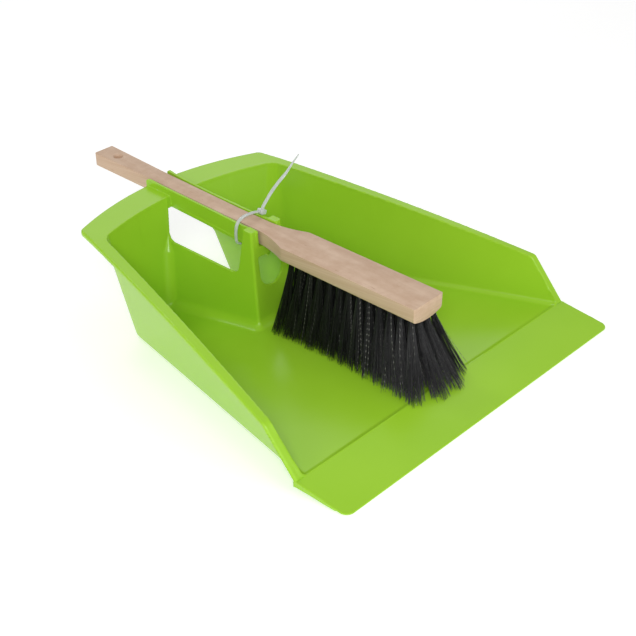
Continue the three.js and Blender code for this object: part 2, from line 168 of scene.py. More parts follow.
def green_plastic():
    """Moulded plastic, a little uneven in colour and in how sharply it shines."""
    shader = Shader("green_plastic", (0.31, 0.585, 0.022), 0.3, IOR=1.5, Specular_IOR_Level=0.3)
    cloud = shader.noise(shader.place(), 9, 3)
    tone = shader.ramp(cloud, (0.35, (0.312, 0.592, 0.024)), (0.65, (0.336, 0.618, 0.029)))
    shader.link(tone, "Base Color")
    shader.link(shader.spread(shader.noise(shader.place(), 60, 4), 0.2, 0.27), "Roughness")
    grain = shader.noise(shader.place(), 900, 2)
    shader.bump(grain, 0.00001, 0.5)
    return shader.material


def beech():
    """Plain beech, with long soft growth lines and the short dark flecks that run along the grain."""
    shader = Shader("beech", (0.6, 0.44, 0.31), 0.55, IOR=1.45)
    bands = shader.noise(shader.place((40, 1.2, 40)), 3.2, 3, 0.6)
    fine = shader.noise(shader.place((45, 3, 420)), 1.5, 4, 0.62)
    flecks = shader.noise(shader.place((900, 55, 900)), 1.0, 1)
    tone = shader.ramp(bands, (0.35, (0.60, 0.425, 0.30)), (0.68, (0.69, 0.51, 0.375)))
    lines = shader.ramp(fine, (0.36, (0.14, 0.14, 0.14)), (0.64, (0.5, 0.5, 0.5)))
    lined = shader.mix(lines, tone, (0.47, 0.295, 0.185))
    marks = shader.ramp(flecks, (0.68, (0, 0, 0)), (0.80, (0.6, 0.6, 0.6)))
    shader.link(shader.mix(marks, lined, (0.40, 0.235, 0.14)), "Base Color")
    shader.link(shader.spread(fine, 0.45, 0.65), "Roughness")
    shader.bump(fine, 0.00008, 0.6)
    return shader.material


def bristle_fibre():
    """Dark crimped fibre. Each bristle has its own random shade, and the palest ones get a painted glint: a
    whitish highlight painted into the colour at every crimp.
    """
    shader = Shader("bristle_fibre", (0.012, 0.012, 0.013), 0.34, IOR=1.5)
    shade = shader.attribute("shade")
    wave = shader.node("ShaderNodeMath", operation="SINE", Value=shader.attribute("crimps"))
    plain = shader.ramp(
        shade, (0.0, (0.004, 0.004, 0.005)), (0.8, (0.012, 0.012, 0.013)), (1.0, (0.055, 0.055, 0.052))
    )
    # Painted highlight: the whitish colour the palest bristles take at the top of each crimp.
    painted_glint_color = shader.ramp(shade, (0.84, (0.014, 0.014, 0.015)), (1.0, (0.55, 0.54, 0.5)))
    # Where along each bristle the painted highlight shows, taken from the crimp wave.
    painted_glint = shader.node("ShaderNodeMapRange", Value=wave.outputs[0], From_Min=0.4, From_Max=0.95)
    shader.link(shader.mix(painted_glint.outputs["Result"], plain, painted_glint_color), "Base Color")
    return shader.material


TOOTH_RISE = 0.0006  # metres along the strap from the foot of a tooth to its top


def clear_nylon():
    """Translucent nylon, with fine teeth across the strap."""
    shader = Shader("clear_nylon", (0.80, 0.84, 0.81), 0.3, Transmission_Weight=0.4, IOR=1.3)
    teeth = shader.node("ShaderNodeMath", operation="PINGPONG", Value=shader.attribute("along"))
    teeth.inputs[1].default_value = TOOTH_RISE
    shader.bump(teeth.outputs[0], 0.35, 1.0)
    return shader.material


# ---------------------------------------------------------------- solid fields

# A field is a function of x, y and z that is negative inside a solid and grows with the distance outside.
# A factor a little under 1 makes up for a wall's lean, so that its field still grows by 1 per millimetre.


def round_max(a, b, radius):
    """The part inside both fields, with a rounded edge between them."""
    over_a = np.maximum(a + radius, 0)
    over_b = np.maximum(b + radius, 0)
    return np.minimum(np.maximum(a, b), -radius) + np.sqrt(over_a * over_a + over_b * over_b)


def round_min(a, b, radius):
    """The part inside either field, with a fillet between them."""
    return -round_max(-a, -b, radius)


def soft_min(a, b, reach):
    """The lower of two heights, easing from one to the other where they differ by less than reach."""
    share = np.clip(0.5 + 0.5 * (b - a) / reach, 0, 1)
    return b + (a - b) * share - reach * share * (1 - share)


def band(field, thickness):
    """The layer from the field's surface to that far inside it."""
    return np.abs(field + thickness / 2) - thickness / 2


def line(at, first, second):
    """The height at a place on the line through two (place, height) points."""
    return first[1] + (at - first[0]) * (second[1] - first[1]) / (second[0] - first[0])


def between(ends, t):
    """The value a share t of the way from the first end to the second."""
    return ends[0] + (ends[1] - ends[0]) * t


# ---------------------------------------------------------------- the pan's shape

WALL = 2.5

CREASE_Y, CREASE_Z = 55, 3.1  # where the lip ends and the floor begins
FLOOR_SLOPE = 0.145
STEP_FRONT_Y, STEP_BACK_Y = 55.3, 59.7  # the small step down from the lip to the floor
STEP_DEPTH, STEP_FADE = 1.15, 40

RIM_FRONT_Y, RIM_BACK_Y = 91.3, 388.9
RIM_FRONT_Z, RIM_BACK_Z = 42, 64.6
RIM_BOW = 3.2
RIM_FOOT_Y, RIM_FOOT_Z = 56, 4.6  # where the rim comes down to the lip
RIM_FOOT_SLOPE = 1.0595

# The back edges bow: a place x from the middle is further forward by the bow times x squared.
BACK_BOTTOM_Y, BACK_BOTTOM_BOW = 384.8, 0.00108
BACK_TOP_Y, BACK_TOP_BOW = 409.4, 0.001578
SIDE_BOTTOM = ((55, 177.6), (373.7, 101.9))  # (y, x) on the side wall's foot, then on its top
SIDE_TOP = ((RIM_FRONT_Y, 179), (RIM_BACK_Y, 114.3))
TRAY_CORNER, TRAY_FILLET = 14, 5
FOOT_FILLET, POST_FILLET = 10, 1  # where the recess meets the floor, and further up
FOOT_FILLET_Z = (12, 26)  # it eases from one to the other between these heights

RECESS_Z = (-60, 73.9)  # the sizes that follow are at these two heights
RECESS_FRONT_Y = (263.7, 280.6)
RECESS_FRONT_HALF = (26.3, 20.5)
RECESS_LENGTH = (115.7, 129.9)
RECESS_WIDENING = (19.9, -3.1)
POST_REAR = ((31, 296.7), (74.9, 291.6))  # (z, y) on the rear edge of the post
POST_ZONE_Y, POST_ZONE_HALF = 340, 60  # the post stands above the rim inside this zone
WINDOW_FLOOR, WINDOW_HALF = 22.2, 62

FLANGE_THICK, SKIRT = 2.2, 4.2
FLANGE_SIDE = ((RIM_FRONT_Y, 186.8), (418, 121.7))  # (y, x) on the flange's outer edge
FLANGE_FRONT_HALF, FLANGE_FRONT_SPREAD = 186.4, 0.0113
FLANGE_BACK_Y, FLANGE_BACK_BOW = 444.4, 0.001784
FLANGE_CORNER = 4

LIP_HALF, LIP_SPREAD, LIP_CORNER = 185, 1.4, 8
LIP_THICKENING = 1.2
LIP_LAP_Y = 58  # how far back the lip's plate runs under the floor
TURNED_Y, TURNED_DROP = 12, (2.6, 6.0)  # the turned-down edge's start, and its height at each end

CHANNEL_FRONT_Y, CHANNEL_BACK_Y = 280.6, 444.2
CHANNEL_HALF, CHANNEL_WAIST = 12.3, 1.3
CHANNEL_TOP, CHANNEL_FALL, CHANNEL_SAG = 73.9, 2.1, 1.3
CHANNEL_FLOOR, CHANNEL_UNDER, CHANNEL_UNDER_SAG = 55.7, 53.3, 0.85
FLARE_Y, FLARE = 426, 1.2  # the ribs thicken towards the back of the channel

HOLE_RADIUS, HOLE_LOW_Z, HOLE_TOP_Z = 14.8, 26.8, 46.3
HOLE_Y, HOLE_REACH = 275, 25


def floor_height(y):
    return CREASE_Z - FLOOR_SLOPE * (y - CREASE_Y)


def lip_or_floor(y):
    """The height of the tray's inside: up the lip, over a small step, then down the floor."""
    step = STEP_DEPTH * np.clip((y - STEP_FRONT_Y) / (STEP_BACK_Y - STEP_FRONT_Y), 0, 1)
    fade = np.exp(-np.maximum(y - STEP_BACK_Y, 0) / STEP_FADE)
    return soft_min(CREASE_Z * y / CREASE_Y, floor_height(y) - step * fade, 0.5)


def rim_along(y):
    """The rim's height along the side, without its drop to the lip."""
    t = np.minimum((y - RIM_FRONT_Y) / (RIM_BACK_Y - RIM_FRONT_Y), 1)
    return between((RIM_FRONT_Z, RIM_BACK_Z), t) + RIM_BOW * 4 * t * (1 - t)


def rim_height(y):
    return soft_min(rim_along(y), RIM_FOOT_Z + RIM_FOOT_SLOPE * (y - RIM_FOOT_Y), 2.5)


def above_rim(y, z):
    slope = rim_height(y + 0.5) - rim_height(y - 0.5)
    return (z - rim_height(y)) / np.sqrt(1 + slope * slope)


def behind_back(x, y, z):
    """How far a place is behind the inner face of the tray's back wall."""
    bottom_y = BACK_BOTTOM_Y - BACK_BOTTOM_BOW * x * x
    top_y = BACK_TOP_Y - BACK_TOP_BOW * x * x
    back_floor = floor_height(bottom_y)
    lean = (top_y - bottom_y) / (RIM_BACK_Z - back_floor)
    return (y - bottom_y - lean * (z - back_floor)) * 0.965


def open_tray(x, y, z):
    """The space inside the tray, above its floor and between its walls, without the recess."""
    bottom_x = line(y, *SIDE_BOTTOM)
    top_x = line(y, *SIDE_TOP)
    lean = (top_x - bottom_x) / (rim_along(y) - floor_height(y))
    side = (np.abs(x) - bottom_x - lean * (z - floor_height(y))) * 0.955
    floor = (lip_or_floor(y) - z) * 0.99
    corner = TRAY_CORNER - 0.1 * z
    return round_max(floor, round_max(side, behind_back(x, y, z), corner), TRAY_FILLET)


def recess_block(x, y, z):
    """The four-sided block that the recess for the hand takes out of the tray."""
    t = (z - RECESS_Z[0]) / (RECESS_Z[1] - RECESS_Z[0])
    front_y = between(RECESS_FRONT_Y, t)
    spread = between(RECESS_WIDENING, t) / between(RECESS_LENGTH, t)
    sides = (np.abs(x) - between(RECESS_FRONT_HALF, t) - spread * (y - front_y)) * 0.98
    return round_max(sides, (front_y - y) * 0.992, 2.6)


def post_rear(z):
    return line(z, *POST_REAR)


def window(x, y, z):
    """The opening over the side walls of the recess, from the post to the back wall, open above."""
    front = (post_rear(z) - y) * 0.99
    opening = round_max(round_max(WINDOW_FLOOR - z, front, 9), behind_back(x, y, z) + 0.2, 8)
    return np.maximum(opening, np.abs(x) - WINDOW_HALF)


def flange_outline(x, y):
    front_half = FLANGE_FRONT_HALF + FLANGE_FRONT_SPREAD * (y - RIM_FOOT_Y)
    side = np.minimum(front_half, line(y, *FLANGE_SIDE))
    back = y - FLANGE_BACK_Y + FLANGE_BACK_BOW * x * x
    return round_max((np.abs(x) - side) * 0.98, back * 0.98, FLANGE_CORNER)


def flange(x, y, z, tray):
    """The flange and its outer edge, which rolls down."""
    body = band(round_max(above_rim(y, z), flange_outline(x, y), 2.0), FLANGE_THICK)
    low_edge = rim_height(y) - SKIRT - z
    return np.maximum(round_max(round_max(body, -tray, 0.6), low_edge, 0.5), CREASE_Y - y)


def lip(x, y, z):
    """The lip and the turned-down edges along its sides."""
    edge_x = LIP_HALF + LIP_SPREAD * y / CREASE_Y
    outline = round_max(round_max(np.abs(x) - edge_x, -y, LIP_CORNER), y - LIP_LAP_Y, 0.3)
    top = z - lip_or_floor(y)
    thick = LIP_EDGE + LIP_THICKENING * np.clip(y / CREASE_Y, 0, 1)
    plate = round_max(round_max(top, outline, 0.6), -top - thick, 0.4)
    drop = between(TURNED_DROP, np.clip((y - TURNED_Y) / (CREASE_Y - TURNED_Y), 0, 1))
    turned = round_max(np.abs(np.abs(x) - edge_x + 1) - 1, -top - drop, 0.4)
    turned = np.maximum(np.maximum(turned, top + 0.6), np.maximum(TURNED_Y - y, y - LIP_LAP_Y))
    return round_min(plate, turned, 0.5)


def along_channel(y):
    """The share of the way along the channel, and a hump that is 1 halfway and 0 at both ends."""
    t = np.clip((y - CHANNEL_FRONT_Y) / (CHANNEL_BACK_Y - CHANNEL_FRONT_Y), 0, 1)
    return t, 4 * t * (1 - t)


def channel_half(y):
    return CHANNEL_HALF - CHANNEL_WAIST * along_channel(y)[1]


def channel(x, y, z):
    """The two ribs and the floor between them, which carry the brush's handle."""
    t, hump = along_channel(y)
    flare = np.clip((y - FLARE_Y) / 18, 0, 1) ** 2
    outer = channel_half(y) + WALL + FLARE * flare
    top = z - (CHANNEL_TOP - CHANNEL_FALL * t - CHANNEL_SAG * hump)
    ends = np.maximum(y - CHANNEL_BACK_Y, CHANNEL_FRONT_Y - 1.6 - y)
    under = CHANNEL_UNDER - CHANNEL_UNDER_SAG * hump - z
    ribs = np.maximum(np.abs(x) - outer, channel_half(y) - np.abs(x))
    ribs = round_max(ribs, round_max(top, ends, 2.0), 0.7)
    floor = np.maximum(np.maximum(np.abs(x) - outer, z - CHANNEL_FLOOR), ends)
    return round_max(round_min(ribs, floor, 1.0), under, 0.5)


def thumb_hole(x, y, z):
    """The hole through the front of the post: round below, straight-sided above."""
    below = np.hypot(x, np.minimum(z - HOLE_LOW_Z, 0)) - HOLE_RADIUS
    return np.maximum(round_max(below, z - HOLE_TOP_Z, 1.5), np.abs(y - HOLE_Y) - HOLE_REACH)


def pan_field(x, y, z):
    """The whole pan: a shell round the tray's inside, then its openings, flange, post, channel and lip."""
    tray = open_tray(x, y, z)
    block = recess_block(x, y, z)
    near_post = (y < POST_ZONE_Y) & (np.abs(x) < POST_ZONE_HALF)
    up = np.clip((z - FOOT_FILLET_Z[0]) / (FOOT_FILLET_Z[1] - FOOT_FILLET_Z[0]), 0, 1)
    inside = round_max(tray, -block, between((FOOT_FILLET, POST_FILLET), up))
    shell = np.maximum(band(-inside, WALL), CREASE_Y - y)
    shell = round_max(shell, np.where(near_post, z - CHANNEL_TOP, above_rim(y, z)), 0.6)
    shell = round_max(shell, -window(x, y, z), 0.6)
    back_wall = band(-behind_back(x, y, z), WALL)
    over_recess = np.maximum(np.maximum(back_wall, block), CHANNEL_UNDER - z)
    shell = np.minimum(shell, round_max(over_recess, above_rim(y, z), 0.6))
    tips = np.maximum(np.maximum(block, y - post_rear(z)), np.maximum(z - CHANNEL_TOP, CHANNEL_UNDER - z))
    walls = np.minimum(round_min(shell, flange(x, y, z, tray), 0.5), round_max(tips, tips, 0.5))
    trough = np.maximum(np.abs(x) - channel_half(y), CHANNEL_FLOOR - z)
    walls = round_max(walls, -trough, 0.5)
    walls = round_min(walls, channel(x, y, z), 1.2)
    walls = round_max(walls, -thumb_hole(x, y, z), 0.6)
    return np.minimum(walls, lip(x, y, z))


# ---------------------------------------------------------------- a field's surface


def stations(*runs):
    """Places along an axis from (start, end, step) runs that follow on from each other."""
    pieces = [np.linspace(a, b, max(1, round((b - a) / step)), endpoint=False) for a, b, step in runs]
    return np.concatenate([*pieces, [runs[-1][1]]]).astype(np.float32)


def field_normals(field, points):
    """The field's direction of steepest growth at each point."""
    reach = 0.05
    steps = []
    for axis in range(3):
        moved = np.zeros(3)
        moved[axis] = reach
        steps.append(field(*(points + moved).T) - field(*(points - moved).T))
    normals = np.stack(steps, 1)
    return normals / np.maximum(np.linalg.norm(normals, axis=1, keepdims=True), 1e-9)


def surface_of(field, xs, ys, zs):
    """Vertices and quads on a field's surface, by dual contouring.

    Each grid cell that the surface crosses gets one vertex, placed where the surface's tangent planes in that
    cell meet, so edges stay crisp.
    """
    values = np.empty((len(xs), len(ys), len(zs)), np.float32)
    for start in range(0, len(ys), 16):
        part = slice(start, start + 16)
        values[:, part] = field(*np.meshgrid(xs, ys[part], zs, indexing="ij"))
    inside = values < 0
    axes = (xs, ys, zs)
    cells = (len(xs) - 1, len(ys) - 1, len(zs) - 1)
    points, owners, quads = [], [], []
    for axis in range(3):
        low = [slice(None)] * 3
        high = [slice(None)] * 3
        low[axis] = slice(None, -1)
        high[axis] = slice(1, None)
        index = np.array(np.nonzero(inside[tuple(low)] != inside[tuple(high)]))
        after = index.copy()
        after[axis] += 1
        first = values[tuple(index)].astype(float)
        second = values[tuple(after)].astype(float)
        point = np.stack([axes[a][index[a]] for a in range(3)], 1).astype(float)
        length = axes[axis][after[axis]] - axes[axis][index[axis]]
        point[:, axis] += length * first / (first - second)
        u, v = (axis + 1) % 3, (axis + 2) % 3
        around = []
        for du, dv in ((-1, -1), (0, -1), (0, 0), (-1, 0)):
            cell = index.copy()
            cell[u] += du
            cell[v] += dv
            around.append(np.ravel_multi_index(cell, cells))
        around = np.stack(around, 1)
        leaving = inside[tuple(index)]
        quads.append(np.where(leaving[:, None], around, around[:, ::-1]))
        points.append(point)
        owners.append(around)
    points = np.concatenate(points)
    normals = field_normals(field, points)
    points -= normals * field(*points.T)[:, None]
    used, local = np.unique(np.concatenate(owners), return_inverse=True)
    local = local.reshape(-1, 4)
    count = len(used)
    corner = np.stack(np.unravel_index(used, cells), 1)
    low = np.stack([axes[a][corner[:, a]] for a in range(3)], 1)
    high = np.stack([axes[a][corner[:, a] + 1] for a in range(3)], 1)

    def gathered(weight):
        return np.bincount(local.ravel(), np.repeat(weight, 4), count)

    number = gathered(np.ones(len(points)))
    middle = np.stack([gathered(points[:, a]) for a in range(3)], 1) / number[:, None]
    matrix = np.empty((count, 3, 3))
    target = np.empty((count, 3))
    offset = (normals * points).sum(1)
    for a in range(3):
        target[:, a] = gathered(normals[:, a] * offset)
        for b in range(a, 3):
            matrix[:, a, b] = matrix[:, b, a] = gathered(normals[:, a] * normals[:, b])
    pull = 0.03
    matrix += np.eye(3) * pull
    target += middle * pull
    vertices = np.linalg.solve(matrix, target[:, :, None])[:, :, 0]
    ids = np.searchsorted(used, np.concatenate(quads))
    return np.clip(vertices, low, high), ids


# ---------------------------------------------------------------- mesh helpers


def object_from(name, vertices, faces, to_row, material, smooth_below=None):
    """An object from vertices in millimetres and faces that all have the same number of corners."""
    matrix = np.array(to_row)
    vertices = np.asarray(vertices, float) @ matrix[:3, :3].T + matrix[:3, 3]
    faces = np.asarray(faces, np.int32)
    mesh = bpy.data.meshes.new(name)
    mesh.vertices.add(len(vertices))
    mesh.vertices.foreach_set("co", vertices.astype(np.float32).ravel())
    mesh.loops.add(faces.size)
    mesh.loops.foreach_set("vertex_index", faces.ravel())
    mesh.polygons.add(len(faces))
    mesh.polygons.foreach_set("loop_start", np.arange(0, faces.size, faces.shape[1], dtype=np.int32))
    mesh.update(calc_edges=True)
    mesh.validate()
    mesh.materials.append(material)
    mesh.shade_smooth()
    if smooth_below is not None:
        mesh.set_sharp_from_angle(angle=math.radians(smooth_below))
    made = bpy.data.objects.new(name, mesh)
    bpy.context.scene.collection.objects.link(made)
    return made


def capped_tube(rings, sides):
    """The faces between rings of points, with a cap on each end."""
    last = (rings - 1) * sides
    return tube_faces(rings, sides) + [tuple(reversed(range(sides))), tuple(range(last, last + sides))]


def set_attribute(made, name, values):
    """A number at each vertex, for the material."""
    attribute = made.data.attributes.new(name, "FLOAT", "POINT")
    attribute.data.foreach_set("value", np.asarray(values, np.float32))


def tube_faces(rings, sides, first=0):
    """The quads between rings of points, without caps."""
    faces = []
    for ring in range(rings - 1):
        for side in range(sides):
            a = first + ring * sides + side
            b = first + ring * sides + (side + 1) % sides
            faces.append((a, b, b + sides, a + sides))
    return faces


def mesh_object(name, vertices, faces, material=None):
    """An object from vertices in its own units and faces of any number of corners."""
    mesh = bpy.data.meshes.new(name)
    mesh.from_pydata(vertices, [], faces)
    if material:
        mesh.materials.append(material)
    made = bpy.data.objects.new(name, mesh)
    bpy.context.scene.collection.objects.link(made)
    return made


def apply_modifiers(made):
    """Work the modifiers into the mesh."""
    graph = bpy.context.evaluated_depsgraph_get()
    mesh = bpy.data.meshes.new_from_object(made.evaluated_get(graph))
    old = made.data
    made.modifiers.clear()
    made.data = mesh
    bpy.data.meshes.remove(old)


def smooth(made, sharp_above):
    """Smooth shading, except over edges that turn by more than that many degrees."""
    made.data.shade_smooth()
    made.data.set_sharp_from_angle(angle=math.radians(sharp_above))


def ease_edges(made, width, angle=30):
    """A small three-step bevel, width in metres, on edges that turn by more than that many degrees."""
    ease = made.modifiers.new("ease", "BEVEL")
    ease.width = width
    ease.segments = 3
    ease.limit_method = "ANGLE"
    ease.angle_limit = math.radians(angle)


# ---------------------------------------------------------------- pan


def make_pan(material):
    """The pan as one skin. The grid is finest round the rim, the crease and the channel."""
    xs = stations(
        (-188, -182, 0.8), (-182, -52, 1.5), (-52, 52, 0.8), (52, 182, 1.5), (182, 188, 0.8)
    )
    ys = stations((-1, 5, 0.7), (5, 50, 2), (50, 62, 1), (62, 256, 2), (256, 446, 0.9))
    zs = stations((-50, -8, 1.0), (-8, 6, 0.7), (6, 75, 1.0))
    vertices, quads = surface_of(pan_field, xs, ys, zs)
    pan = object_from("pan_moulding", vertices, quads, SET_TO_ROW, material, smooth_below=38)
    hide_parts("pan_tray")
    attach(pan, "pan")


# ---------------------------------------------------------------- brush

TAIL_Y, WIDEN_Y, BEND_Y, NECK_Y, SHOULDER_Y, FRONT_Y = 532.5, 430, 330, 286, 243, 79.5
TAIL_HALF, HANDLE_HALF, BLOCK_HALF = 11.8, 9.7, 20
TAIL_TOP_Z, BEND_TOP_Z, FRONT_TOP_Z = 71.8, 71.4, 76.5  # the wood's top bends a little at BEND_Y
WOOD_THICK, BLOCK_THINNER, CROWN = 15.1, 1.1, 4.1
END_CORNER = 1.1  # the rounding of the ends, seen from above
EDGE_EASE = 0.0009

HANGING_Y, HANGING_RADIUS, HANGING_MOUTH = 507.5, 4.5, 5.4


def flare_at(y):
    """0 on the handle and 1 on the block, easing over the neck."""
    t = min(max((NECK_Y - y) / (NECK_Y - SHOULDER_Y), 0), 1)
    return t**1.85


def plain_half(y):
    """Half the wood's width before its corners are rounded."""
    widening = max(0, (y - WIDEN_Y) / (TAIL_Y - WIDEN_Y))
    return HANDLE_HALF + (BLOCK_HALF - HANDLE_HALF) * flare_at(y) + (TAIL_HALF - HANDLE_HALF) * widening


def wood_half(y):
    left = min(TAIL_Y - y, y - FRONT_Y, END_CORNER)
    return plain_half(y) - END_CORNER + math.sqrt(max(0, END_CORNER**2 - (END_CORNER - left) ** 2))


def wood_top(y):
    if y > BEND_Y:
        return line(y, (BEND_Y, BEND_TOP_Z), (TAIL_Y, TAIL_TOP_Z))
    return line(y, (FRONT_Y, FRONT_TOP_Z), (BEND_Y, BEND_TOP_Z))


def wood_under(x, y):
    """The height of the wood's underside, which bulges down under the block."""
    flare = flare_at(y)
    bulge = CROWN * flare * (1 - abs(x / plain_half(y)) ** 2.3)
    return wood_top(y) - WOOD_THICK + BLOCK_THINNER * flare - bulge


def wood_section(y):
    """A ring round the wood: the flat top, then the sides, rounded into the crowned underside."""
    half = wood_half(y)
    corner = 1.0 + 1.4 * flare_at(y)
    flat = half - corner
    edge = wood_under(flat, y) + corner
    turns = np.linspace(0, math.pi / 2, 5)[:-1]
    near = [(-flat - corner * math.cos(turn), edge - corner * math.sin(turn)) for turn in turns]
    under = [(x, wood_under(x, y)) for x in np.linspace(-flat, flat, 11)]
    far = [(-x, z) for x, z in reversed(near)]
    ring = [(half, wood_top(y)), (-half, wood_top(y)), *near, *under, *far]
    return [(x, y, z) for x, z in ring]


def make_wood(material):
    """The brush's back: sections along its length, a hanging hole, and eased edges."""
    ends = [0, 0.12, 0.4, 0.75, END_CORNER]
    places = [TAIL_Y - s for s in ends]
    places += [520, 495, 460, 445, WIDEN_Y, 375, BEND_Y]
    places += list(np.linspace(NECK_Y + 6, SHOULDER_Y - 4, 22))
    places += [200, 160, 120] + [FRONT_Y + s for s in reversed(ends)]
    sections = [wood_section(y) for y in places]
    vertices = [BRUSH_TO_ROW @ Vector(point) for section in sections for point in section]
    wood = mesh_object("brush_wood", vertices, capped_tube(len(places), len(sections[0])), material)

    profile = [
        (0, -12), (HANGING_RADIUS, -12), (HANGING_RADIUS, 14.4), (HANGING_MOUTH, 15.6), (HANGING_MOUTH, 18),
        (0, 18),
    ]
    cutter = revolved("hole_cutter", profile, 48)
    cutter.matrix_world = BRUSH_TO_ROW @ Matrix.Translation((0, HANGING_Y, 56))
    cut = wood.modifiers.new("hole", "BOOLEAN")
    cut.operation = "DIFFERENCE"
    cut.object = cutter
    ease_edges(wood, EDGE_EASE, 35)
    apply_modifiers(wood)
    bpy.data.objects.remove(cutter)
    smooth(wood, 30)
    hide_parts("brush_back")
    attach(wood, "brush")


def revolved(name, profile, sides):
    """A solid turned about Z from (radius, height) points."""
    vertices = []
    for radius, height in profile:
        radius = max(radius, 1e-3)
        for i in range(sides):
            angle = 2 * math.pi * i / sides
            vertices.append((radius * math.cos(angle), radius * math.sin(angle), height))
    return mesh_object(name, vertices, capped_tube(len(profile), sides))


# ---------------------------------------------------------------- bristles

ROWS, COLUMNS = 4, 13
ROW_GAP = 9.3
ROOT_Y = (233.5, 87)  # the first and the last column
TIP_Y = (244, 55)
TIP_HALF = (27, 36)  # half the fringe's width at its first and last columns
TIP_LEAN, NEAR_LEAN, FRONT_BULGE = 10, 6, 12
SPLAY = 1.15
TIP_SCATTER, TRIM_SCATTER, BOW_SCATTER = 0.9, 1.3, 1.2
SHORT_SHARE, SHORT_BY = 0.1, 4  # one bristle in ten is trimmed shorter
TIP_GAP = 0.35
DARK_SHARE, DARKEST_PALE = 0.93, 0.8
BRISTLES_PER_TUFT = 125
BRISTLE_RADIUS, MOUTH_RADIUS = 0.22, 2.4
LEVELS = np.array((0, 0.16, 0.38, 0.62, 0.84, 1.0))  # down a bristle
THICKNESS = np.array((1, 1, 1, 1, 0.95, 0.55)) * BRISTLE_RADIUS
BRISTLE_SIDES = 3
CRIMP_LENGTH = 4.6
FIRST_SEED = 70


def pan_top(y):
    return np.where(y < CREASE_Y, CREASE_Z * y / CREASE_Y, floor_height(y))


def tuft_frame(row, column):
    """A tuft's root, the middle of its tips and how far the tips spread, across and along the brush."""
    t = column / (COLUMNS - 1)
    from_middle = row - (ROWS - 1) / 2
    side = from_middle / ((ROWS - 1) / 2)
    root = np.array((from_middle * ROW_GAP, between(ROOT_Y, t)))
    half = between(TIP_HALF, t)
    reach = np.array((half / ROWS, 0.5 * (TIP_Y[0] - TIP_Y[1]) / (COLUMNS - 1)))
    lean = (TIP_LEAN + NEAR_LEAN * max(-side, 0)) * t * t
    bulge = FRONT_BULGE * (1 - side * side) * t**6
    tip = np.array((side * (half - 0.88 * half / ROWS) - lean, between(TIP_Y, t) - bulge))
    return root, tip, reach


def bristle_line(root, tip, reach, mouth, random):
    """One bristle's places across and along the brush, and its heights, at each level."""
    angle = random.uniform(0, 2 * math.pi)
    out = math.sqrt(random.uniform(0, 1))
    way = np.array((math.cos(angle), math.sin(angle))) * out
    start = root + way * MOUTH_RADIUS
    end = tip + way * reach * SPLAY + random.normal(0, TIP_SCATTER, 2)
    low = pan_top(end[1]) + TIP_GAP + abs(random.normal(0, TRIM_SCATTER))
    low += (random.uniform() < SHORT_SHARE) * SHORT_BY
    bow = random.normal(0, BOW_SCATTER, 2)
    share = LEVELS[:, None]
    flat = start + (end - start) * share**1.25 + bow * (share * (1 - share)) * 2
    heights = mouth + 1 + (low - mouth - 1) * LEVELS
    return angle, flat, heights


def make_bristles(row, random, material):
    """One row's bristles: thin three-sided tubes from the wood to a ragged trimmed end."""
    vertices, faces, shades, crimps = [], [], [], []
    for column in range(COLUMNS):
        root, tip, reach = tuft_frame(row, column)
        mouth = wood_under(*root)
        for _ in range(BRISTLES_PER_TUFT):
            angle, flat, heights = bristle_line(root, tip, reach, mouth, random)
            faces += tube_faces(len(LEVELS), BRISTLE_SIDES, len(vertices))
            for (x, y), z, radius in zip(flat, heights, THICKNESS):
                for side in range(BRISTLE_SIDES):
                    turn = angle + 2 * math.pi * side / BRISTLE_SIDES
                    vertices.append((x + radius * math.cos(turn), y + radius * math.sin(turn), z))
            # Most bristles get a dark random shade; the palest few also carry the painted glints, placed by
            # the crimp phase below.
            dark = random.uniform() < DARK_SHARE
            shade = random.uniform(0, DARKEST_PALE) if dark else random.uniform(DARKEST_PALE, 1.0)
            shades += [shade] * (BRISTLE_SIDES * len(LEVELS))
            turns = 2 * math.pi * (mouth - heights) / CRIMP_LENGTH + random.normal(0, 0.9)
            crimps += list(np.repeat(turns, BRISTLE_SIDES))
    made = object_from(f"bristle_row_{row + 1}", vertices, faces, BRUSH_TO_ROW, material)
    set_attribute(made, "shade", shades)
    set_attribute(made, "crimps", crimps)
    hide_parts(*[f"tuft_r{row + 1}_c{column + 1:02d}" for column in range(COLUMNS)])
    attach(made, "brush")


# ---------------------------------------------------------------- cable tie

TIE_Y = 303.4
STRAP_HALF, STRAP_TIP_HALF = (1.8, 0.58), (0.55, 0.36)  # half the width, half the thickness
NARROW_X = 46  # where the tail begins to taper
STRAP_EASE = 0.25
HEAD_AT, HEAD_TURN = (16.0, 75.6), math.radians(20)
HEAD_SIZE = (6.4, 7.6, 4.6)
HEAD_SLOT = (1.9, 4.3)
HEAD_REACH = 2.3  # how far the strap runs straight on each side of the head's middle
# (x, z) along the strap's middle line, round the channel and the handle from the head and back to it
LOOP = [
    (13.2, 76.4), (7, 78.2), (-0.7, 79.3), (-8.6, 79.2), (-14.2, 77.3), (-17.9, 72.8), (-19.2, 66.8),
    (-19.2, 59.5), (-18.2, 54), (-15.6, 51.8), (-11, 51.6), (11, 51.6), (14.4, 51.9), (16, 54), (16, 59),
    (15.4, 66), (15.2, 71.5),
]
TAIL = [(19, 81.3), (22.4, 84.8), (31.5, 93.3), (42, 100.4), (50.2, 105.2), (60.4, 113.7), (68.4, 119.5)]


def smooth_path(points, per_span):
    """A Catmull-Rom curve through the points."""
    padded = np.array([points[0], *points, points[-1]], float)
    places = []
    for i in range(len(points) - 1):
        a, b, c, d = padded[i : i + 4]
        for t in np.linspace(0, 1, per_span, endpoint=False):
            square = 2 * a - 5 * b + 4 * c - d
            cube = 3 * b - a - 3 * c + d
            places.append(0.5 * (2 * b + (c - a) * t + square * t * t + cube * t**3))
    places.append(padded[-1])
    return np.array(places)


